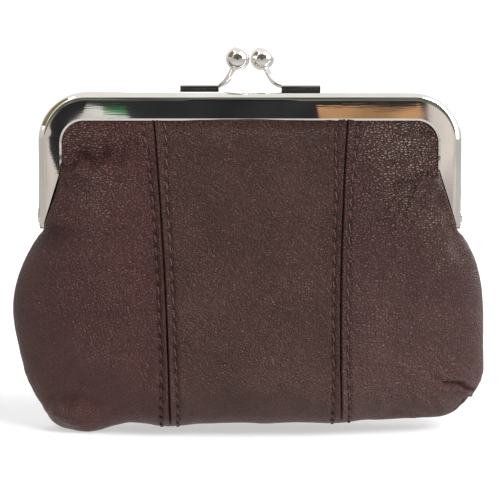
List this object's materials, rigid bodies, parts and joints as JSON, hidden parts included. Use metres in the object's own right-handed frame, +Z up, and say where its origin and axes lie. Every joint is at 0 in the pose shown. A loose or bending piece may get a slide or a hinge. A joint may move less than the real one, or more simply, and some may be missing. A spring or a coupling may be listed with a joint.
{
  "type": "coin purse",
  "caption": "Leather pouch with a lining, closed by a hinged metal kiss-lock frame with a ball clasp, for coins and small items.",
  "frame": {"origin": "centre of the footprint, on the surface that the purse stands on", "axes": "+X across the width to the right, -Y towards the front, +Z up towards the clasp"},
  "size_m": [0.1188, 0.0384, 0.0959],
  "materials": {
    "frame_plating": "polished",
    "leather": "satin",
    "lining": "matte",
    "paper_cord": "matte"
  },
  "bodies": {
    "pouch": {"front_lining_lower": "lining", "front_left_panel_lower": "leather", "front_centre_panel_lower": "leather", "front_right_panel_lower": "leather", "rear_lining_lower": "lining", "rear_left_panel_lower": "leather", "rear_centre_panel_lower": "leather", "rear_right_panel_lower": "leather"},
    "front_half": {"front_frame": "frame_plating", "front_clasp_arm": "frame_plating", "front_clasp_ball": "frame_plating", "front_paper_cord": "paper_cord", "front_lining_upper": "lining", "front_left_panel_upper": "leather", "front_centre_panel_upper": "leather", "front_right_panel_upper": "leather"},
    "rear_half": {"rear_frame": "frame_plating", "rear_clasp_arm": "frame_plating", "rear_clasp_ball": "frame_plating", "rear_paper_cord": "paper_cord", "rear_lining_upper": "lining", "rear_left_panel_upper": "leather", "rear_centre_panel_upper": "leather", "rear_right_panel_upper": "leather", "left_hinge_rivet": "frame_plating", "right_hinge_rivet": "frame_plating"}
  },
  "joints": [
    {"name": "front_open", "type": "hinge", "parent": "pouch", "child": "front_half", "pos_m": [0, 0, 0.054], "axis": [1, 0, 0], "range_deg": [0, 50]},
    {"name": "rear_open", "type": "hinge", "parent": "pouch", "child": "rear_half", "pos_m": [0, 0, 0.054], "axis": [-1, 0, 0], "range_deg": [0, 50]}
  ]
}
